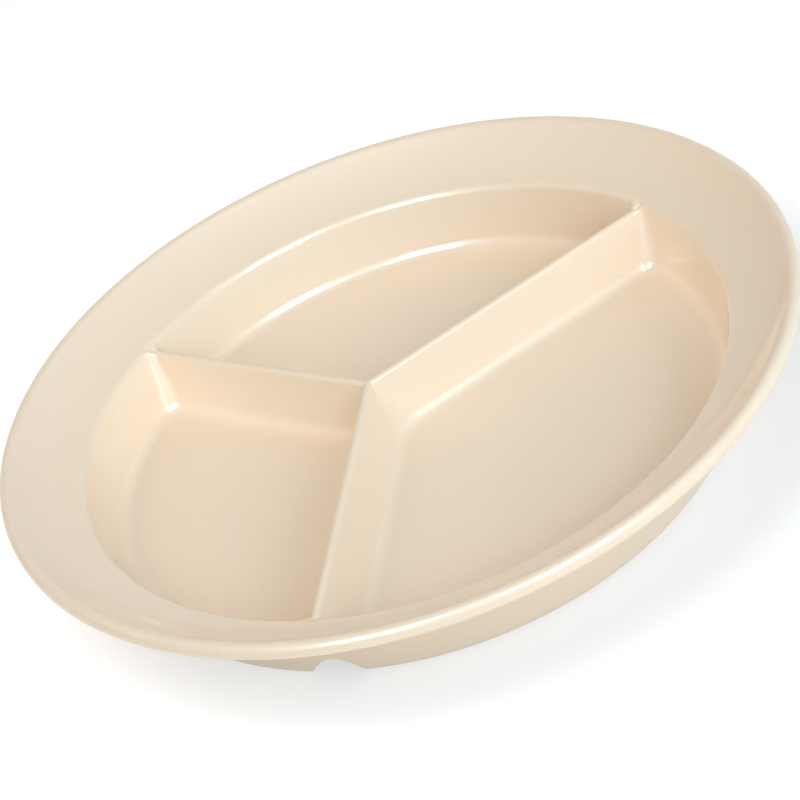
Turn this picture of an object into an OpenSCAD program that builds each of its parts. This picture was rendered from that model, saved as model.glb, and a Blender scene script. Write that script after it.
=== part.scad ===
// Round plate with three compartments, moulded in one, with a concave flange and hollow dividers.
// Z is up, the table is z = 0 and the plate's axis is the Z axis. The stem divider points to +Y,
// so the large compartment lies towards -Y and the two equal ones lie to the left and the right.

/* [Rim] */
// Outside diameter of the rim
rim_d = 259; // [235:1:300]
// Overall height, from the table to the top of the rim
height = 38; // [36:0.5:46]
// Height of the lip's outside
lip_t = 5; // [4.5:0.1:6]
// Radius of the lip's rounded corners, outside
lip_r = 2; // [1.6:0.1:2.2]
// Radius over which the flange turns into the top of the lip
brow_r = 3; // [2.4:0.1:4]
// Thickness of the flange
flange_t = 3.6; // [3:0.1:4.2]
// Width of the flange seen from above, from the well edge to the outside of the lip
flange_w = 24.3; // [21:0.1:30]
// Depth of the well edge below the top of the rim
well_drop = 12.2; // [11:0.2:15]
// Slope of the flange where it leaves the well edge, in degrees
flange_slope = 17; // [12:1:22]

/* [Well] */
// Draft of every upright face, in degrees
draft = 15; // [11:0.5:17]
// Thickness of the well wall, measured level
wall_t = 3.4; // [3:0.1:4.2]
// Thickness of the floors
floor_t = 3; // [2.5:0.1:3.6]
// Radius between the floors and the upright faces
floor_fillet = 4.5; // [4:0.25:6]
// Radius of the upright corners at the top
corner_top_r = 3; // [2:0.25:5]
// Radius of the upright corners just above the floor fillet
corner_low_r = 6; // [5:0.25:8]
// Radius under the flange, where it leaves the outside of the wall
shoulder_r = 5; // [3:0.25:7]

/* [Dividers] */
// Angle between the stem divider and each arm
arm_angle = 115; // [108:1:122]
// Distance from the plate's axis to the point where the dividers meet
hub_offset = 13.4; // [8:0.2:18]
// Radius along the tops of the dividers
ridge_r = 1.5; // [1.2:0.1:2]
// Depth of the divider tops below the well edge
ridge_drop = 1.5; // [1:0.1:2.5]
// Corner radius of the large compartment at the hub, just above the floor fillet
hub_low_r = 14; // [8:0.5:18]

/* [Foot] */
// Height of the foot ring under the floors
foot_h = 2.5; // [2:0.1:3.5]
// Width of the foot ring on the table
foot_w = 4; // [3:0.1:5]
// Radius of the rounded base, outside
base_r = 5; // [4.5:0.25:7]
// How far the rounded base draws in from the line of the wall
base_inset = 1.6; // [1.2:0.1:2.2]
// Height of the arched gap in the foot under each divider
gap_h = 8.6; // [6:0.1:9.5]
// Width of that gap on the table
gap_w = 18.9; // [15:0.1:22]

/* [Hidden] */
$fn = 180;
over = 1;

// Numbers of steps along the arcs, and of turns in the search for the shoulder's height
fillet_steps = 5;
edge_steps = 3;
hub_steps = 8;
corner_steps = 6;
wall_steps = 18;
gap_steps = 24;
arc_steps = 10;
lip_steps = 10;
shoulder_turns = 8;

// Least radius of a corner and least half width of a divider's hollow
least_corner_r = 0.8;
least_hollow = 0.6;

// The rounding at the top of a compartment stops short of level, then runs on straight past the top face
edge_stop = 50;
edge_run = 3;

// Heights
edge_z = height - well_drop;
ridge_z = edge_z - ridge_drop;
floor_z = foot_h + floor_t;

// Radii of the revolved regions
rim_r = rim_d / 2;
well_r = rim_r - flange_w;
crest_r = rim_r - lip_r;
brow_c = [crest_r, height - brow_r];
lean = tan(draft);

// The flange is an arc that leaves the well edge at its slope and touches the brow of the lip
well_p = [well_r, edge_z];
flange_n = [-sin(flange_slope), cos(flange_slope)];
to_edge = well_p - brow_c;
flange_r = (to_edge * to_edge - brow_r * brow_r) / (2 * (brow_r - to_edge * flange_n));
flange_c = well_p + flange_r * flange_n;
lip_touch = brow_c + brow_r * (flange_c - brow_c) / norm(flange_c - brow_c);
flange_in_r = well_r + wall_t + shoulder_r;
flange_out_r = lip_touch[0] - flange_t / 2;

// The lip's outline is three arcs, each a centre, a radius and two angles: over the brow,
// round the upper corner and round the lower one
lip_from = atan2(lip_touch[1] - brow_c[1], lip_touch[0] - brow_c[0]);
lip_under = -115;
lip_arcs = [[brow_c, brow_r, lip_from, 90],
    [[crest_r, height - lip_r], lip_r, 90, 0],
    [[crest_r, height - lip_t + lip_r], lip_r, 0, lip_under]];

// Rounded base: an arc that touches the outside of the wall and ends on the table
wall_out_0 = well_r + wall_t - edge_z * lean;
base_a = base_r / cos(draft) - base_inset;
base_z = (base_a * lean + sqrt(base_r * base_r * (1 + lean * lean) - base_a * base_a)) / (1 + lean * lean);
base_c = [wall_out_0 + base_z * lean - base_r / cos(draft), base_z];
base_top_z = base_z - base_r * sin(draft);
foot_out_r = outside_r(0);
foot_in_r = foot_out_r - foot_w;

// Shoulder: an arc in the corner between the wall and the underside of the flange
under_r = flange_r + flange_t;
shoulder_z = shoulder_height(edge_z - shoulder_r, shoulder_turns);
shoulder_c = shoulder_at(shoulder_z);
shoulder_up = atan2(flange_c[1] - shoulder_c[1], flange_c[0] - shoulder_c[0]);

// Insets of a compartment's outline from the well edge, going down its wall
ridge_ref = ridge_r / cos(draft) - (edge_z - ridge_z + ridge_r) * lean;
inset_flat = (edge_z - floor_z) * lean + floor_fillet * tan((90 - draft) / 2);
rib_half = ridge_ref + inset_flat;

// Where the dividers lie
hub = [0, hub_offset];
stem_a = 90;
left_a = stem_a + arm_angle;
right_a = stem_a - arm_angle;
main_pocket = [left_a, right_a + 360, hub_low_r];
left_pocket = [stem_a, left_a, corner_low_r];
right_pocket = [right_a, stem_a, corner_low_r];
pockets = [main_pocket, left_pocket, right_pocket];
seam = 1;
hub_reach = seam + max([for (p = pockets) for (l = wall_levels())
    (ridge_ref + l[1] + hub_corner(p, l)) / tan((p[1] - p[0]) / 2)]);

function unit(a) = [cos(a), sin(a)];
function left_of(a) = [-sin(a), cos(a)];
function mix(a, b, t) = a + (b - a) * t;
function arc(c, r, from, to, steps) = [for (i = [0:steps]) c + r * unit(mix(from, to, i / steps))];
function near(a, ref) = a + 360 * round((ref - a) / 360);
function mirrored(points) = [for (i = [len(points) - 1:-1:0]) [-points[i][0], points[i][1]]];

// Outside of the wall with its rounded base, top and underside of the flange
function wall_out(z) = wall_out_0 + z * lean;
function outside_r(z) = z < base_top_z ? base_c[0] + sqrt(pow(base_r, 2) - pow(base_z - z, 2)) : wall_out(z);
function flange_top(r) = flange_c[1] - sqrt(pow(flange_r, 2) - pow(r - flange_c[0], 2));
function flange_under(r) = flange_c[1] - sqrt(pow(under_r, 2) - pow(r - flange_c[0], 2));

// The shoulder's centre keeps its radius from the wall, and its height is found step by step
function shoulder_at(z) = [wall_out(z) + shoulder_r / cos(draft), z];
function shoulder_height(z, turns) = turns == 0 ? z :
    let (reach = shoulder_at(z)[0] - flange_c[0])
    shoulder_height(flange_c[1] - sqrt(pow(under_r + shoulder_r, 2) - reach * reach), turns - 1);

// A level of a compartment: height, inset, share of the rise at the wall, share of the depth
// and loss of corner radius
function flat_level(z) = [z, inset_flat, 0, 1, floor_fillet * cos(draft)];
function wall_levels() = concat(
    [for (i = [0:fillet_steps]) let (b = (90 - draft) * i / fillet_steps)
        [floor_z + floor_fillet * (1 - cos(b)), inset_flat - floor_fillet * sin(b), 0, 1,
            floor_fillet * (cos(draft) - sin(b))]],
    [for (i = [0:edge_steps]) let (b = mix(draft, edge_stop, i / edge_steps))
        [ridge_z - ridge_r + ridge_r * sin(b), ridge_r * cos(b) - ridge_ref, 1, 0,
            ridge_r * (cos(b) - cos(draft))]]);
function run_level(z_up) =
    let (l = wall_levels()[fillet_steps + edge_steps + 1], run = edge_run * sin(edge_stop))
    [z_up, l[1] - run, 1, 0, l[4] - run];
function pocket_levels() = concat([flat_level(foot_h - over)], wall_levels(),
    [run_level(ridge_z - ridge_r + ridge_r * sin(edge_stop) + edge_run * cos(edge_stop)),
        run_level(height + over)]);

// Corner radii of a compartment at a level
function wall_corner(l) = max(mix(corner_top_r, corner_low_r, l[3]) - l[4], least_corner_r);
function hub_corner(p, l) = max(mix(corner_top_r, p[2], l[3]) - l[4], least_corner_r);

// How far along a divider the corner with the wall is centred
function corner_reach(a, side, o, r, w) =
    let (p = hub + side * (o + r) * left_of(a), b = p * unit(a))
    sqrt(b * b - p * p + (w - r) * (w - r)) - b;
function corner_centre(a, side, o, r, w) =
    hub + side * (o + r) * left_of(a) + corner_reach(a, side, o, r, w) * unit(a);

// Outline of a compartment at a level, counter-clockwise: hub corner, wall corner, wall, wall corner
function outline(p, l) =
    let (o = ridge_ref + l[1], w = well_r - l[1], r = wall_corner(l), h = hub_corner(p, l),
        rise = l[2] * ridge_drop, out = rise * lean,
        c1 = corner_centre(p[0], 1, o, r, w), c2 = corner_centre(p[1], -1, o, r, w),
        a1 = near(atan2(c1[1], c1[0]), p[0]), a2 = near(atan2(c2[1], c2[0]), p[1]),
        ch = hub + (o + h) / sin((p[1] - p[0]) / 2) * unit((p[0] + p[1]) / 2))
    concat(
        [for (q = arc(ch, h, p[1] + 90, p[0] + 270, hub_steps)) [q[0], q[1], l[0]]],
        [for (i = [0:corner_steps])
            let (f = i / corner_steps, q = c1 + (r + out * f) * unit(mix(p[0] - 90, a1, f)))
            [q[0], q[1], l[0] + rise * f]],
        [for (i = [1:wall_steps - 1])
            let (q = (w + out) * unit(mix(a1, a2, i / wall_steps)))
            [q[0], q[1], l[0] + rise]],
        [for (i = [corner_steps:-1:0])
            let (f = i / corner_steps, q = c2 + (r + out * f) * unit(mix(p[1] + 90, a2, f)))
            [q[0], q[1], l[0] + rise * f]]);
function plan(points) = [for (q = points) [q[0], q[1]]];

// Where a divider stops and its root, which belongs to the wall, begins
function rib_end(a) = min([for (side = [-1, 1]) for (l = wall_levels())
    corner_reach(a, side, ridge_ref + l[1], wall_corner(l), well_r - l[1])]) - seam;

// Angle at which a divider's line crosses the foot ring
function foot_crossing(a) = let (b = hub * unit(a), t = sqrt(b * b - hub * hub + foot_out_r * foot_out_r) - b,
    q = hub + t * unit(a)) near(atan2(q[1], q[0]), a);

// Compartment as a loft through its levels, open right through the floor
module pocket(p) {
    levels = pocket_levels();
    rings = [for (l = levels) outline(p, l)];
    n = len(rings[0]);
    m = len(rings);
    points = [for (k = [0:m - 1]) for (q = rings[k]) k == m - 1 ? [q[0], q[1], height + over] : q];
    sides = [for (k = [0:m - 2]) for (i = [0:n - 1]) let (j = (i + 1) % n)
        each [[k * n + i, (k + 1) * n + i, (k + 1) * n + j], [k * n + i, (k + 1) * n + j, k * n + j]]];
    polyhedron(points, concat([[for (i = [0:n - 1]) i]], sides, [[for (i = [n - 1:-1:0]) (m - 1) * n + i]]));
}

// Half of the hollow under a divider: an arc parallel to the floor fillet, then the side of the slot
hollow_r = floor_fillet + floor_t;
hollow_half = max(rib_half - hollow_r * cos(draft), least_hollow);
hollow_turn = acos((rib_half - hollow_half) / hollow_r);
hollow_side = arc([rib_half, floor_z + floor_fillet], hollow_r, 270, 180 + hollow_turn, arc_steps);
slot_half = hollow_half / 2;
slot_foot = hollow_side[arc_steps];
slot_top = [slot_half, slot_foot[1] + (hollow_half - slot_half) / lean];
hollow_points = concat(hollow_side, [slot_top], mirrored(concat(hollow_side, [slot_top])));

// Half of a divider's outside: floor edge, fillet, drafted face and rounded top
rib_side = concat([[rib_half, foot_h]],
    arc([rib_half, floor_z + floor_fillet], floor_fillet, 270, 180 + draft, arc_steps));
rib_top = arc([0, ridge_z - ridge_r], ridge_r, draft, 180 - draft, arc_steps);

module along(a, from, to) {
    translate([hub[0], hub[1], 0]) rotate([0, 0, a]) translate([from, 0, 0])
        rotate([90, 0, 90]) linear_extrude(to - from) children();
}

module hollow_profile() {
    polygon(hollow_points);
    translate([-rib_half, foot_h - over]) square([2 * rib_half, over]);
}

module rib(a) {
    along(a, hub_reach, rib_end(a)) difference() {
        polygon(concat(rib_side, rib_top, mirrored(rib_side)));
        hollow_profile();
    }
}

// Gap in the foot: an arch in the shape of half a wave, which runs out through the wall
module gap(a) {
    arch = [for (i = [0:gap_steps]) let (s = mix(-1, 1, i / gap_steps)) [s * gap_w / 2, gap_h * cos(90 * s)]];
    along(a, rib_end(a) - over, rim_r) polygon(concat([[-gap_w / 2, -over]], arch, [[gap_w / 2, -over]]));
}

module floor_plate(p) {
    translate([0, 0, foot_h]) linear_extrude(floor_t) polygon(plan(outline(p, flat_level(floor_z))));
}

// Part of the foot ring between two dividers
module foot_arc(a, b) {
    from = foot_crossing(a);
    to = foot_crossing(b);
    difference() {
        rotate([0, 0, from]) rotate_extrude(angle = to - from)
            polygon(concat([[foot_in_r, 0]],
                [for (i = [0:arc_steps]) let (z = foot_h * i / arc_steps) [outside_r(z), z]],
                [[foot_in_r, foot_h]]));
        gap(a);
        gap(b);
    }
}

// Six corners round the hub, one pair at the start of each divider
hub_corners = [for (a = [right_a, stem_a, left_a]) for (side = [-1, 1])
    hub + hub_reach * unit(a) + side * (rib_half + over) * left_of(a)];

module rim_lip() {
    color("wheat") rotate_extrude() polygon(concat(
        [[flange_out_r, flange_under(flange_out_r)], [flange_out_r, flange_top(flange_out_r)]],
        // The upper corner starts where the brow ends, so its first point is left to the brow
        [for (k = [0:len(lip_arcs) - 1]) let (l = lip_arcs[k]) for (i = [k == 1 ? 1 : 0:lip_steps])
            l[0] + l[1] * unit(mix(l[2], l[3], i / lip_steps))]));
}

module flange() {
    color("bisque") rotate_extrude() intersection() {
        difference() {
            translate(flange_c) circle(under_r);
            translate(flange_c) circle(flange_r);
        }
        translate([flange_in_r, 0]) square([flange_out_r - flange_in_r, height]);
    }
}

module well_wall() {
    base_side = foot_h < base_top_z ?
        arc(base_c, base_r, asin((foot_h - base_z) / base_r), -draft, arc_steps) : [[wall_out(foot_h), foot_h]];
    profile = concat([[0, foot_h]], base_side,
        arc(shoulder_c, shoulder_r, 180 - draft, shoulder_up, arc_steps),
        [[flange_in_r, flange_under(flange_in_r)]],
        [for (i = [0:arc_steps]) let (r = mix(flange_in_r, well_r, i / arc_steps)) [r, flange_top(r)]],
        [[well_r - ridge_drop / tan(flange_slope), ridge_z], [0, ridge_z]]);
    color("antiquewhite") difference() {
        rotate_extrude() polygon(profile);
        for (p = pockets) pocket(p);
        for (a = [stem_a, left_a, right_a]) {
            along(a, hub_reach - over, rib_end(a))
                translate([-rib_half - over, 0]) square([2 * (rib_half + over), height]);
            gap(a);
        }
        linear_extrude(height) polygon(hub_corners);
    }
}

module divider_hub() {
    color("moccasin") difference() {
        translate([0, 0, foot_h]) linear_extrude(ridge_z - foot_h) polygon(hub_corners);
        for (p = pockets) pocket(p);
        for (a = [stem_a, left_a, right_a]) along(a, 0, hub_reach + over) hollow_profile();
    }
}

module floor_main() { color("blanchedalmond") floor_plate(main_pocket); }
module floor_left() { color("papayawhip") floor_plate(left_pocket); }
module floor_right() { color("oldlace") floor_plate(right_pocket); }
module divider_stem() { color("navajowhite") rib(stem_a); }
module divider_left() { color("navajowhite") rib(left_a); }
module divider_right() { color("navajowhite") rib(right_a); }
module foot_main() { color("tan") foot_arc(left_a, right_a + 360); }
module foot_left() { color("tan") foot_arc(stem_a, left_a); }
module foot_right() { color("tan") foot_arc(right_a, stem_a); }

rim_lip();
flange();
well_wall();
floor_main();
floor_left();
floor_right();
divider_stem();
divider_left();
divider_right();
divider_hub();
foot_main();
foot_left();
foot_right();
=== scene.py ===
import cmath
import math
from collections import namedtuple

import bmesh
import bpy
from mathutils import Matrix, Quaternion, Vector

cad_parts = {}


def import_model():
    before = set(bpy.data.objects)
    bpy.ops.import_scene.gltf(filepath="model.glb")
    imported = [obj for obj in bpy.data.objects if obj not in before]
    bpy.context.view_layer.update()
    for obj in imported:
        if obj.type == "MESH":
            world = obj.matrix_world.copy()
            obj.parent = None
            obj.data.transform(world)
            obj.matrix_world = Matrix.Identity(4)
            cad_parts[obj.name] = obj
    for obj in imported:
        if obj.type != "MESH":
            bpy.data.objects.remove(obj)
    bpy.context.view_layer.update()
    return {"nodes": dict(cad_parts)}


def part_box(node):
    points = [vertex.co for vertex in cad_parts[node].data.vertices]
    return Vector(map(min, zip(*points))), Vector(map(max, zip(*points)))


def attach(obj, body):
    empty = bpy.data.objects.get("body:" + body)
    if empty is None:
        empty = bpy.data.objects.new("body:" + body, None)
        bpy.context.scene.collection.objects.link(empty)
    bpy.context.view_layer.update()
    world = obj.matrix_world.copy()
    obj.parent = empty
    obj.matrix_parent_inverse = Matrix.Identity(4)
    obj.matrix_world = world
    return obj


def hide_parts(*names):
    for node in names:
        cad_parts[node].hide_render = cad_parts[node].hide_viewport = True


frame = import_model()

# The plate is measured in millimetres, the floor, the camera and the lamps in metres, angles in degrees
MM = 0.001


def corner_mm(node, which):
    """Lowest (0) or highest (1) corner of a node's box, to a tenth of a millimetre."""
    return [round(v / MM, 1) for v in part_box(node)[which]]


# Sizes read from the frame
rim_r, _, height = corner_mm("rim_lip", 1)
foot_h = corner_mm("floor_main", 0)[2]
floor_z = corner_mm("floor_main", 1)[2]
ridge_z = corner_mm("divider_stem", 1)[2]

# Rim
lip_t = 5.0
lip_r = 2.0
brow_r = 3.0
lip_fillet = 1.6
flange_t = 3.6
flange_w = 24.3
flange_slope = 17.0

# Well
well_drop = 12.2
draft = 15.0
wall_t = 3.4
floor_t = floor_z - foot_h
floor_fillet = 4.5
corner_top_r = 3.0
corner_low_r = 6.0
least_corner_r = 0.8
shoulder_r = 5.0
edge_r = 3.0

# Dividers
arm_angle = 115.0
hub_offset = 13.4
ridge_r = 1.5
hub_top_r = 1.0
hub_low_r = 14.0
run_in = 0.5

# Foot and the hollow under each divider
foot_w = 4.0
base_r = 5.0
base_inset = 1.6
gap_h = 8.6
hollow_taper = 14.0

# Steps along the curves of the mesh
hub_steps = 14
line_steps = 26
corner_steps = 12
wall_steps = 100
fillet_rows = 9
wall_rows = 5
edge_rows = 20
flange_rows = 28
lip_rows = 22
turn_rows = 6
under_rows = 9
outside_rows = 6
base_rows = 7
foot_rows = 3
hollow_steps = 14
slot_rows = 24
floor_rings = (0.985, 0.94, 0.84, 0.68, 0.46, 0.22)

# Points closer than this are welded, and edges that turn more than this stay sharp
weld_mm = 0.002
crease_angle = 38.0


def sin(a):
    return math.sin(math.radians(a))


def cos(a):
    return math.cos(math.radians(a))


def tan(a):
    return math.tan(math.radians(a))


def unit(a):
    """Unit vector. Points in plan are x + y j, and points of a profile are radius + height j."""
    return cmath.rect(1, math.radians(a))


def dot(p, q):
    return (p.conjugate() * q).real


def angle(p):
    return math.degrees(cmath.phase(p))


def near(a, ref):
    """The angle a, turned in full turns until it lies next to ref."""
    return a + 360 * round((ref - a) / 360)


def mix(a, b, t):
    return a + (b - a) * t


def smooth(t):
    """Eases from 0 to 1 with level ends."""
    t = min(max(t, 0), 1)
    return t * t * (3 - 2 * t)


def arc(c, r, start, end, steps):
    return [c + r * unit(mix(start, end, i / steps)) for i in range(steps + 1)]


def crossing(c, r, d, s):
    """Where two circles cross, on the left of the way from c to d."""
    way = d - c
    along = (abs(way) ** 2 + r * r - s * s) / (2 * abs(way))
    return c + way / abs(way) * (along + 1j * math.sqrt(r * r - along * along))


# Where the dividers lie, counter-clockwise
hub = 1j * hub_offset
stem_a = 90.0
left_a = stem_a + arm_angle
right_a = stem_a - arm_angle

# A compartment: its first and last divider, counter-clockwise, and its corner radius at the hub
pockets = [
    (right_a, stem_a, corner_low_r),
    (stem_a, left_a, corner_low_r),
    (left_a, right_a + 360, hub_low_r),
]

# Insets of a compartment's outline from the well edge, going down its wall
lean = tan(draft)
edge_z = height - well_drop
well_r = rim_r - flange_w
ridge_ref = ridge_r / cos(draft) - (edge_z - ridge_z + ridge_r) * lean
inset_flat = (edge_z - floor_z) * lean + floor_fillet * tan((90 - draft) / 2)
rib_half = ridge_ref + inset_flat

# The well edge is an arc that touches the drafted wall and the flange
wall_up = unit(90 - draft)
edge_turn = 90 - flange_slope
edge_c = complex(well_r, edge_z) - edge_r * (tan((edge_turn - draft) / 2) + 1j) * wall_up

# Centres of the lip's arcs: the brow, where the flange turns over, and the two rounded corners outside
crest_r = rim_r - lip_r
brow_c = complex(crest_r, height - brow_r)
lip_top_c = complex(crest_r, height - lip_r)
lip_low_c = complex(crest_r, height - lip_t + lip_r)

# The flange is an arc that leaves the well edge at its slope and touches the brow
flange_n = unit(90 + flange_slope)
flange_p = edge_c + edge_r * flange_n
to_edge = flange_p - brow_c
flange_r = (abs(to_edge) ** 2 - brow_r ** 2) / (2 * (brow_r - dot(to_edge, flange_n)))
flange_c = flange_p + flange_r * flange_n
under_r = flange_r + flange_t

# A fillet joins the lip to the underside of the flange, and the shoulder joins that to the wall
lip_fillet_c = crossing(lip_low_c, lip_r + lip_fillet, flange_c, under_r + lip_fillet)
wall_out_0 = well_r + wall_t - edge_z * lean
shoulder_p = wall_out_0 - 1j * shoulder_r * wall_up - flange_c
shoulder_b = dot(shoulder_p, wall_up)
shoulder_t = -shoulder_b - math.sqrt(shoulder_b ** 2 - abs(shoulder_p) ** 2 + (under_r + shoulder_r) ** 2)
shoulder_c = flange_c + shoulder_p + shoulder_t * wall_up
shoulder_end = shoulder_c + shoulder_r * unit(180 - draft)

# The rounded base is an arc that touches the outside of the wall and ends on the table
base_a = base_r / cos(draft) - base_inset
base_z = (base_a * lean + math.sqrt(base_r ** 2 * (1 + lean ** 2) - base_a ** 2)) / (1 + lean ** 2)
base_c = complex(wall_out_0 + base_z * lean - base_r / cos(draft), base_z)
base_top_z = base_z - base_r * sin(draft)
foot_in_r = base_c.real + math.sqrt(base_r ** 2 - base_z ** 2) - foot_w

# Section of the hollow under a divider, across it: place and height
hollow_r = floor_fillet + floor_t
hollow_half = rib_half - hollow_r * cos(draft)
hollow_side = arc(complex(rib_half, floor_z + floor_fillet), hollow_r, 270, 180 + draft, hollow_steps)
slot_top = complex(hollow_half / 2, hollow_side[-1].imag + hollow_half / 2 / lean)
hollow_half_section = hollow_side + [slot_top]
hollow = [complex(-p.real, p.imag) for p in hollow_half_section]
hollow += [1j * slot_top.imag] + hollow_half_section[::-1]
zone_steps = len(hollow) - 1


def arch(x):
    """Height of the gap in the foot, at a place across the divider: half a wave."""
    return gap_h * cos(90 * x / rib_half)


# A level of a compartment: distance from a divider's line, radius of the wall, height at each, corner radii
Level = namedtuple("Level", "line wall line_z wall_z corner hub")


def fillet_level(pocket, b):
    """Level in the floor fillet, from the floor (b = 0) to where the drafted faces start."""
    inset = inset_flat - floor_fillet * sin(b)
    z = floor_z + floor_fillet * (1 - cos(b))
    loss = floor_fillet * (cos(draft) - sin(b))
    corner = max(corner_low_r - loss, least_corner_r)
    return Level(ridge_ref + inset, well_r - inset, z, z, corner, max(pocket[2] - loss, least_corner_r))


def edge_level(b):
    """Level in the rounding of a divider's top and of the well edge."""
    edge = edge_c + edge_r * unit(180 - b)
    corner = corner_top_r + ridge_r * (cos(draft) - cos(b))
    ridge = ridge_z - ridge_r + ridge_r * sin(b)
    return Level(ridge_r * cos(b), edge.real, ridge, edge.imag, corner, hub_top_r * cos(b) / cos(draft))


def rounded_level(share, f):
    """Level at a share of the rounding, which turns further on a divider (f = 0) than on the wall (f = 1)."""
    return edge_level(mix(draft, mix(90, edge_turn, smooth(f)), share))


def corner_reach(a, side, level):
    """How far along a divider the corner with the wall is centred."""
    p = hub + side * (level.line + level.corner) * 1j * unit(a)
    b = dot(p, unit(a))
    return math.sqrt(b * b - abs(p) ** 2 + (level.wall - level.corner) ** 2) - b


def corner_centre(a, side, level):
    return hub + (side * (level.line + level.corner) * 1j + corner_reach(a, side, level)) * unit(a)


def line_end(a, level):
    """Where the straight part of a divider ends, the same on both sides of it."""
    return min(corner_reach(a, 1, level), corner_reach(a, -1, level)) - run_in


def corner_share(i):
    """Share of the corner's turn at a step. The first step only runs up to the corner."""
    return max(i - 1, 0) / (corner_steps - 1)


# Steps round a compartment, counter-clockwise, with the share of the way from divider to wall at each
stations = [("hub", i / hub_steps, 0) for i in range(hub_steps + 1)]
stations += [("first line", i / line_steps, 0) for i in range(1, line_steps + 1)]
stations += [("first corner", i, corner_share(i)) for i in range(1, corner_steps + 1)]
stations += [("wall", i / wall_steps, 1) for i in range(1, wall_steps)]
stations += [("last corner", i, corner_share(i)) for i in range(corner_steps, 0, -1)]
stations += [("last line", i / line_steps, 0) for i in range(line_steps, 0, -1)]
first_corner_at = hub_steps + line_steps
last_corner_at = first_corner_at + 2 * corner_steps + wall_steps


def outline_point(pocket, part, t, f, level):
    """Point of a compartment's outline at a station, as x + y j."""
    first, last, _ = pocket
    half = (last - first) / 2
    start = (level.line + level.hub) / tan(half)
    if part == "hub":
        centre = hub + (level.line + level.hub) / sin(half) * unit(first + half)
        return centre + level.hub * unit(mix(last + 90, first + 270, t))
    if part == "first line":
        return hub + (mix(start, line_end(first, level), t) + 1j * level.line) * unit(first)
    if part == "last line":
        return hub + (mix(start, line_end(last, level), t) - 1j * level.line) * unit(last)
    first_c = corner_centre(first, 1, level)
    last_c = corner_centre(last, -1, level)
    first_a = near(angle(first_c), first)
    last_a = near(angle(last_c), last)
    if part == "first corner":
        return first_c + level.corner * unit(mix(first - 90, first_a, f))
    if part == "last corner":
        return last_c + level.corner * unit(mix(last + 90, last_a, f))
    return level.wall * unit(mix(first_a, last_a, t))


def run_out(f):
    """Share of a divider's rise to the flange at a share f of the corner's turn.

    It leaves the divider level and meets the flange at the flange's slope.
    """
    along = sin(90 * f)
    end = tan(flange_slope) * (corner_top_r + ridge_r) / (flange_p.imag - ridge_z)
    return along * along * (3 - end + (end - 2) * along)


def ring(pocket, level_at):
    """Closed row of points round a compartment, each (x + y j, z). level_at gives the level at a share f."""
    points = []
    for part, t, f in stations:
        level = level_at(f)
        z = mix(level.line_z, level.wall_z, run_out(f))
        points.append((outline_point(pocket, part, t, f, level), z))
    return points


def between(row, other, t):
    return [(mix(p, q, t), mix(y, z, t)) for (p, y), (q, z) in zip(row, other)]


class Skin:
    """Mesh that is put together from rows of points and welded where they meet."""

    def __init__(self):
        self.bm = bmesh.new()

    def row(self, points):
        return [self.bm.verts.new((p.real * MM, p.imag * MM, z * MM)) for p, z in points]

    def bridge(self, row, other, closed=False):
        count = len(row) if closed else len(row) - 1
        for i in range(count):
            j = (i + 1) % len(row)
            self.bm.faces.new((row[i], row[j], other[j], other[i]))

    def bridge_rows(self, rows, closed=False):
        made = [self.row(points) for points in rows]
        for row, other in zip(made, made[1:]):
            self.bridge(row, other, closed)
        return made

    def fill(self, verts):
        self.bm.faces.new(verts)

    def finish(self, name):
        bmesh.ops.remove_doubles(self.bm, verts=self.bm.verts, dist=weld_mm * MM)
        bmesh.ops.dissolve_degenerate(self.bm, edges=self.bm.edges, dist=weld_mm * MM)
        bmesh.ops.recalc_face_normals(self.bm, faces=self.bm.faces)
        mesh = bpy.data.meshes.new(name)
        self.bm.to_mesh(mesh)
        self.bm.free()
        mesh.shade_smooth()
        mesh.set_sharp_from_angle(angle=math.radians(crease_angle))
        made = bpy.data.objects.new(name, mesh)
        bpy.context.scene.collection.objects.link(made)
        return made


def compartment(skin, pocket):
    """Well of one compartment, from the crest of its rounding down to mid floor. Gives the crest."""
    rows = [ring(pocket, lambda f: rounded_level(1 - i / edge_rows, f)) for i in range(edge_rows + 1)]
    low = ring(pocket, lambda f: fillet_level(pocket, 90 - draft))
    rows += [between(rows[-1], low, i / wall_rows) for i in range(1, wall_rows)]
    crest = rows[0]
    for i in range(fillet_rows, -1, -1):
        rows.append(ring(pocket, lambda f: fillet_level(pocket, (90 - draft) * i / fillet_rows)))
    floor = rows[-1]
    middle = sum(p for p, _ in floor) / len(floor)
    for share in floor_rings:
        rows.append([(mix(middle, p, share), z) for p, z in floor])
    made = skin.bridge_rows(rows, closed=True)
    skin.fill(made[-1])
    return crest


def corner_points(crest, first):
    """Points of a crest along one corner, from the divider to the wall."""
    if first:
        return crest[first_corner_at:first_corner_at + corner_steps + 1]
    return crest[last_corner_at - corner_steps:last_corner_at + 1][::-1]


def flare(skin, right_side, left_side):
    """Land between two corners where a divider's top runs out into the flange. Gives its outer row."""
    rows = []
    for (p, y), (q, z) in zip(right_side, left_side):
        turn = near(angle(q), angle(p))
        steps = [j / zone_steps for j in range(zone_steps + 1)]
        rows.append([(mix(abs(p), abs(q), t) * unit(mix(angle(p), turn, t)), mix(y, z, t)) for t in steps])
    skin.bridge_rows(rows)
    return rows[-1]


def offset_angle(a, x, r):
    """Angle at which the line beside a divider, at the distance x, reaches the radius r."""
    p = hub + 1j * x * unit(a)
    b = dot(p, unit(a))
    return near(angle(p + (math.sqrt(b * b - abs(p) ** 2 + r * r) - b) * unit(a)), a)


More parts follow.
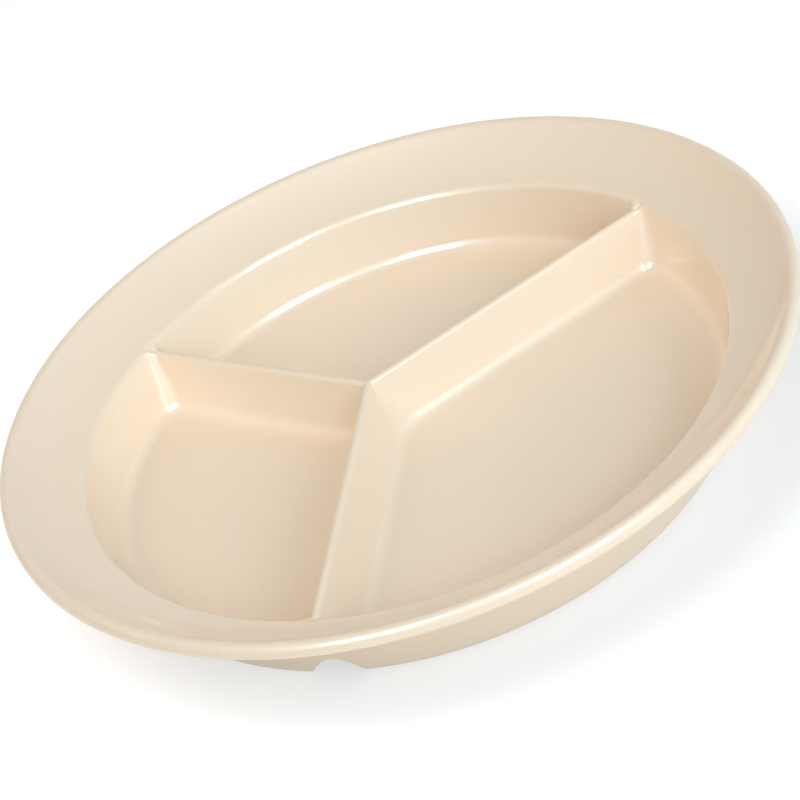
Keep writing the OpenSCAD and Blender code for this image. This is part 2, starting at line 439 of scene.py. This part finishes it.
def low_angles(r):
    """Angles of all columns below the rim: even steps at a compartment, lines alongside at a divider."""
    angles = []
    for first, last, _ in pockets:
        start = offset_angle(first, rib_half, r)
        end = offset_angle(last, -rib_half, r)
        angles += [mix(start, end, i / wall_steps) for i in range(wall_steps + 1)]
        angles += [offset_angle(last, p.real, r) for p in hollow[1:-1]]
    return angles


def gap_heights():
    """Height of the foot's lower face at each column."""
    heights = []
    for _ in pockets:
        heights += [0.0] * (wall_steps + 1)
        heights += [arch(p.real) for p in hollow[1:-1]]
    return heights


def rim_profile():
    """Flange, lip, underside and shoulder, as (point, share of the columns' way from top to bottom)."""
    touch = angle(brow_c - flange_c)
    lip_end = near(angle(lip_fillet_c - lip_low_c), -90)
    points = arc(flange_c, flange_r, flange_slope - 90, touch, flange_rows)
    points += arc(brow_c, brow_r, touch + 180, 90, lip_rows)[1:]
    points += arc(lip_top_c, lip_r, 90, 0, lip_rows)[1:]
    points += arc(lip_low_c, lip_r, 0, lip_end, lip_rows)
    points += arc(lip_fillet_c, lip_fillet, lip_end + 180, angle(flange_c - lip_fillet_c), turn_rows)[1:]
    under = arc(flange_c, under_r, angle(lip_fillet_c - flange_c), angle(shoulder_c - flange_c), under_rows)
    shoulder = arc(shoulder_c, shoulder_r, angle(flange_c - shoulder_c), 180 - draft, turn_rows)
    shares = [smooth(i / under_rows) for i in range(1, under_rows + 1)]
    return [(p, 0) for p in points] + list(zip(under[1:], shares)) + [(p, 1) for p in shoulder[1:]]


def wall_point(z):
    """Outside of the wall at a height above its rounded base."""
    return complex(wall_out_0 + z * lean, z)


def outside_point(gap, t):
    """Outside below the shoulder: down the wall (t to 1), round the base (t to 2), down to the gap."""
    if t <= 1:
        return mix(shoulder_end, wall_point(max(gap, base_top_z)), t)
    if gap >= base_top_z:
        return wall_point(gap)
    end = -math.degrees(math.asin((base_z - gap) / base_r))
    return base_c + base_r * unit(mix(-draft, end, t - 1))


def outside(skin, top_angles):
    """Rim, outside of the wall, rounded base and foot, as closed rows. Gives the row inside the foot."""
    rows = []
    for p, share in rim_profile():
        turned = [mix(a, near(b, a), share) for a, b in zip(top_angles, low_angles(p.real))]
        rows.append([(p.real * unit(a), p.imag) for a in turned])
    gaps = gap_heights()
    tables = {}
    stops = [i / outside_rows for i in range(1, outside_rows + 1)]
    stops += [1 + i / base_rows for i in range(1, base_rows + 1)]
    for t in stops:
        row = []
        for column, gap in enumerate(gaps):
            p = outside_point(gap, t)
            row.append((p.real * unit(column_angle(column, p.real, tables)), p.imag))
        rows.append(row)
    for i in range(1, foot_rows + 1):
        row = []
        for column, (p, z) in enumerate(rows[len(rows) - i]):
            r = mix(abs(p), foot_in_r, i / foot_rows)
            row.append((r * unit(column_angle(column, r, tables)), z))
        rows.append(row)
    inner = low_angles(foot_in_r)
    rows.append([(foot_in_r * unit(a), max(z, foot_h)) for a, z in zip(inner, gaps)])
    skin.bridge_rows(rows, closed=True)
    return rows[-1]


def column_angle(column, r, tables):
    """Angle of one column at a radius. The angles of all columns at that radius are kept in tables."""
    if r not in tables:
        tables[r] = low_angles(r)
    return tables[r][column]


def slot(skin, k):
    """Hollow under the divider that ends compartment k, from the foot to the hub. Gives its rows."""
    first, a, _ = pockets[k]
    after = pockets[(k + 1) % len(pockets)]
    right_half = (a - first) / 2
    left_half = (after[1] - after[0]) / 2
    rows = []
    for i in range(slot_rows + 1):
        row = []
        for p in hollow:
            x = p.real
            side = hub + 1j * x * unit(a)
            b = dot(side, unit(a))
            outer = math.sqrt(b * b - abs(side) ** 2 + foot_in_r ** 2) - b
            inner = abs(x) / tan(left_half if x > 0 else right_half)
            t = mix(outer, inner, i / slot_rows)
            rise = smooth((outer - t) / hollow_taper)
            row.append((side + t * unit(a), mix(max(arch(x), foot_h), p.imag, rise)))
        rows.append(row)
    skin.bridge_rows(rows)
    return rows


def underside(skin, inside_foot):
    """Hollows under the dividers and the level pad under each compartment."""
    slots = [slot(skin, k) for k in range(len(pockets))]
    step = wall_steps + zone_steps
    for k in range(len(pockets)):
        edge = inside_foot[k * step:k * step + wall_steps + 1]
        edge = edge + [row[0] for row in slots[k][1:]]
        edge = edge + [row[-1] for row in slots[k - 1][-2:0:-1]]
        skin.fill(skin.row(edge))


def plate():
    skin = Skin()
    crests = [compartment(skin, pocket) for pocket in pockets]
    top_angles = []
    for k, crest in enumerate(crests):
        after = crests[(k + 1) % len(crests)]
        land = flare(skin, corner_points(crest, first=False), corner_points(after, first=True))
        wall = crest[first_corner_at + corner_steps:last_corner_at - corner_steps + 1]
        top_angles += [angle(p) for p, _ in wall] + [angle(p) for p, _ in land[1:-1]]
    underside(skin, outside(skin, top_angles))
    return skin.finish("plate_moulding")


# Material: two creams that drift into each other, with specks in the moulding
cream_deep = (0.848, 0.676, 0.513, 1.0)
cream_pale = (0.873, 0.711, 0.548, 1.0)
speck_colour = (0.60, 0.44, 0.28, 1.0)
cloud_mm = 45.0
cloud_detail = 3.0
mottle_mm = 1.6
mottle_detail = 2.0
mottle_share = 0.35

# A speck's radius is a share of its cell, and only a share of the cells have one
speck_cell_mm = 7.0
speck_radius = 0.028
speck_share = 0.22

# The broad sheen varies in roughness, and a sharp clear gloss lies over it
resin_ior = 1.5
sheen_mm = 14.0
sheen_detail = 4.0
sheen_low = 0.28
sheen_high = 0.36
sheen_level = 0.35
gloss_share = 0.6
gloss_roughness = 0.02

# Slight waves of the moulding and a fine grain
wave_mm = 30.0
wave_detail = 1.0
wave_depth_mm = 0.035
peel_mm = 0.9
peel_detail = 2.0
peel_depth_mm = 0.0012


def add(tree, kind, values=None, **settings):
    """New node with its settings and the values of its inputs."""
    new = tree.nodes.new(kind)
    for name, value in settings.items():
        setattr(new, name, value)
    for name, value in (values or {}).items():
        new.inputs[name].default_value = value
    return new


def noise(tree, place, size_mm, detail):
    """Noise with lumps of about the given size, from 0 to 1."""
    texture = add(tree, "ShaderNodeTexNoise", {"Scale": 1 / (size_mm * MM), "Detail": detail})
    tree.links.new(place.outputs["Object"], texture.inputs["Vector"])
    return texture.outputs["Fac"]


def blend(tree, share, low, high):
    """Number that follows share from low to high."""
    between_both = add(tree, "ShaderNodeMapRange", {"To Min": low, "To Max": high})
    tree.links.new(share, between_both.inputs["Value"])
    return between_both.outputs["Result"]


def calculate(tree, operation, first, second):
    """Result of an operation on an output and on either an output or a number."""
    step = add(tree, "ShaderNodeMath", operation=operation)
    tree.links.new(first, step.inputs[0])
    if isinstance(second, float):
        step.inputs[1].default_value = second
    else:
        tree.links.new(second, step.inputs[1])
    return step.outputs[0]


def mix_colours(tree, share, first, second):
    """Mix of a colour or an output with a second colour."""
    both = add(tree, "ShaderNodeMix", data_type="RGBA")
    tree.links.new(share, both.inputs["Factor"])
    if isinstance(first, tuple):
        both.inputs["A"].default_value = first
    else:
        tree.links.new(first, both.inputs["A"])
    both.inputs["B"].default_value = second
    return both.outputs["Result"]


def specks(tree, place):
    """Small spots in a few of many cells: 1 on a spot and 0 elsewhere."""
    cells = add(tree, "ShaderNodeTexVoronoi", {"Scale": 1 / (speck_cell_mm * MM)})
    tree.links.new(place.outputs["Object"], cells.inputs["Vector"])
    draw = add(tree, "ShaderNodeSeparateColor")
    tree.links.new(cells.outputs["Color"], draw.inputs["Color"])
    spot = calculate(tree, "LESS_THAN", cells.outputs["Distance"], speck_radius)
    chosen = calculate(tree, "LESS_THAN", draw.outputs["Red"], speck_share)
    return calculate(tree, "MULTIPLY", spot, chosen)


def bump(tree, height_share, depth_mm, normal=None):
    """Normal bent by a height that goes from 0 to the depth."""
    dent = add(tree, "ShaderNodeBump", {"Distance": depth_mm * MM})
    tree.links.new(height_share, dent.inputs["Height"])
    if normal:
        tree.links.new(normal, dent.inputs["Normal"])
    return dent.outputs["Normal"]


def melamine():
    material = bpy.data.materials.new("cream_melamine")
    material.use_nodes = True
    tree = material.node_tree
    shader = tree.nodes["Principled BSDF"]
    shader.inputs["IOR"].default_value = resin_ior
    shader.inputs["Specular IOR Level"].default_value = sheen_level
    shader.inputs["Coat Weight"].default_value = gloss_share
    shader.inputs["Coat Roughness"].default_value = gloss_roughness
    shader.inputs["Coat IOR"].default_value = resin_ior
    place = add(tree, "ShaderNodeTexCoord")
    mottle = calculate(tree, "MULTIPLY", noise(tree, place, mottle_mm, mottle_detail), mottle_share)
    clouds = calculate(tree, "MULTIPLY", noise(tree, place, cloud_mm, cloud_detail), 1 - mottle_share)
    cream = mix_colours(tree, calculate(tree, "ADD", clouds, mottle), cream_deep, cream_pale)
    colour = mix_colours(tree, specks(tree, place), cream, speck_colour)
    tree.links.new(colour, shader.inputs["Base Color"])
    sheen = blend(tree, noise(tree, place, sheen_mm, sheen_detail), sheen_low, sheen_high)
    tree.links.new(sheen, shader.inputs["Roughness"])
    waves = bump(tree, noise(tree, place, wave_mm, wave_detail), wave_depth_mm)
    grain = bump(tree, noise(tree, place, peel_mm, peel_detail), peel_depth_mm, waves)
    tree.links.new(grain, shader.inputs["Normal"])
    return material


piece = plate()
piece.data.materials.append(melamine())
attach(piece, "root")
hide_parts(*frame["nodes"])

# Floor: the camera sees its glow and its lit grey together, and light bounces off its pale colour
floor_size = 6.0
floor_glow = 0.58
floor_shade = 0.35
floor_pale = (0.58, 0.52, 0.45, 1.0)


def grey(level):
    return (level, level, level, 1)


def in_view(tree):
    """Output that is 1 for what the camera sees, straight on, mirrored or through a clear thing."""
    rays = add(tree, "ShaderNodeLightPath").outputs
    indirect = calculate(tree, "MAXIMUM", rays["Is Glossy Ray"], rays["Is Transmission Ray"])
    return calculate(tree, "MAXIMUM", indirect, rays["Is Camera Ray"])


def floor():
    mesh = bpy.data.meshes.new("floor")
    half = floor_size / 2
    corners = [(-half, -half, 0), (half, -half, 0), (half, half, 0), (-half, half, 0)]
    mesh.from_pydata(corners, [], [(0, 1, 2, 3)])
    plane = bpy.data.objects.new("floor", mesh)
    bpy.context.scene.collection.objects.link(plane)
    material = bpy.data.materials.new("pale_floor")
    material.use_nodes = True
    tree = material.node_tree
    links = tree.links
    tree.nodes.clear()
    out = add(tree, "ShaderNodeOutputMaterial")
    pale = add(tree, "ShaderNodeBsdfDiffuse", {"Color": floor_pale})
    shade = add(tree, "ShaderNodeBsdfDiffuse", {"Color": grey(floor_shade)})
    glow = add(tree, "ShaderNodeEmission", {"Strength": floor_glow})
    seen = add(tree, "ShaderNodeAddShader")
    choose = add(tree, "ShaderNodeMixShader")
    links.new(glow.outputs[0], seen.inputs[0])
    links.new(shade.outputs[0], seen.inputs[1])
    links.new(in_view(tree), choose.inputs[0])
    links.new(pale.outputs[0], choose.inputs[1])
    links.new(seen.outputs[0], choose.inputs[2])
    links.new(choose.outputs[0], out.inputs["Surface"])
    mesh.materials.append(material)
    return plane


floor_plane = floor()

# Camera, solved from the outlines of the rim, the well edge, the floor, the foot and the dividers
camera_aim = Vector((-0.0207, -0.0186, 0.0390))
camera_distance = 0.7826
camera_azimuth = -134.46
camera_elevation = 34.65
camera_roll = -21.69
camera_lens = 117.0
camera_sensor = 36.0
camera_clip = 0.05


def toward(azimuth, elevation):
    """Unit vector from the plate towards an azimuth and an elevation."""
    level = cos(elevation)
    return Vector((level * cos(azimuth), level * sin(azimuth), sin(elevation)))


def camera():
    data = bpy.data.cameras.new("camera")
    data.lens = camera_lens
    data.sensor_width = camera_sensor
    data.clip_start = camera_clip
    view = bpy.data.objects.new("camera", data)
    back = toward(camera_azimuth, camera_elevation)
    view.location = camera_aim + camera_distance * back
    roll = Quaternion((0, 0, 1), math.radians(camera_roll))
    view.rotation_euler = (back.to_track_quat("Z", "Y") @ roll).to_euler()
    bpy.context.scene.collection.objects.link(view)
    bpy.context.scene.camera = view


camera()

# Light: every lamp is a rectangle of the given size that faces the plate from the same distance
light_aim = Vector((0, 0, 0.02))
light_distance = 1.3
cool = (0.75, 0.90, 1.0)
white = (1.0, 1.0, 1.0)
warm = (1.0, 0.88, 0.72)
world_fill = (0.05, 0.035, 0.02, 1.0)
world_white = 1.0
fill_size = (0.80, 0.80)
window_size = (0.50, 0.95)

# Where a lamp stands, its power in watts and its colour
Lamp = namedtuple("Lamp", "name azimuth elevation power colour")

# Tall lights that show only in the gloss
windows = [
    Lamp("left_window", -165, 40, 26.0, white),
    Lamp("right_window", -110, 40, 26.0, white),
]

# Soft lights that don't show in the gloss
fills = [
    Lamp("near_fill", -90, 20, 5.1, cool),
    Lamp("front_fill", -135, 20, 4.8, cool),
    Lamp("high_fill", -115, 35, 4.9, cool),
    Lamp("left_fill", -170, 42, 3.2, cool),
    Lamp("right_fill", -45, 28, 5.2, cool),
    Lamp("top_fill", 0, 90, 2.7, white),
    Lamp("back_fill", 105, 45, 5.6, warm),
]

# Light on the floor alone, for the plate's shadow there
shadow_lamp = Lamp("floor_light", 155, 68, 13.0, white)


def softbox(lamp, size):
    """Area lamp that faces the plate."""
    data = bpy.data.lights.new(lamp.name, "AREA")
    data.shape = "RECTANGLE"
    data.size, data.size_y = size
    data.energy = lamp.power
    data.color = lamp.colour
    box = bpy.data.objects.new(lamp.name, data)
    away = toward(lamp.azimuth, lamp.elevation)
    box.location = light_aim + light_distance * away
    box.rotation_euler = away.to_track_quat("Z", "Y").to_euler()
    bpy.context.scene.collection.objects.link(box)
    return box


def floor_light():
    lit = bpy.data.collections.new("floor_only")
    lit.objects.link(floor_plane)
    softbox(shadow_lamp, fill_size).light_linking.receiver_collection = lit


def world():
    """White to the camera and in reflections, and a weak warm fill."""
    scene_world = bpy.data.worlds.new("studio")
    bpy.context.scene.world = scene_world
    scene_world.use_nodes = True
    tree = scene_world.node_tree
    background = mix_colours(tree, in_view(tree), world_fill, grey(world_white))
    tree.links.new(background, tree.nodes["Background"].inputs["Color"])


for lamp in windows:
    softbox(lamp, window_size).visible_diffuse = False
for lamp in fills:
    softbox(lamp, fill_size).visible_glossy = False
floor_light()
world()

bpy.context.scene.view_settings.view_transform = "Standard"
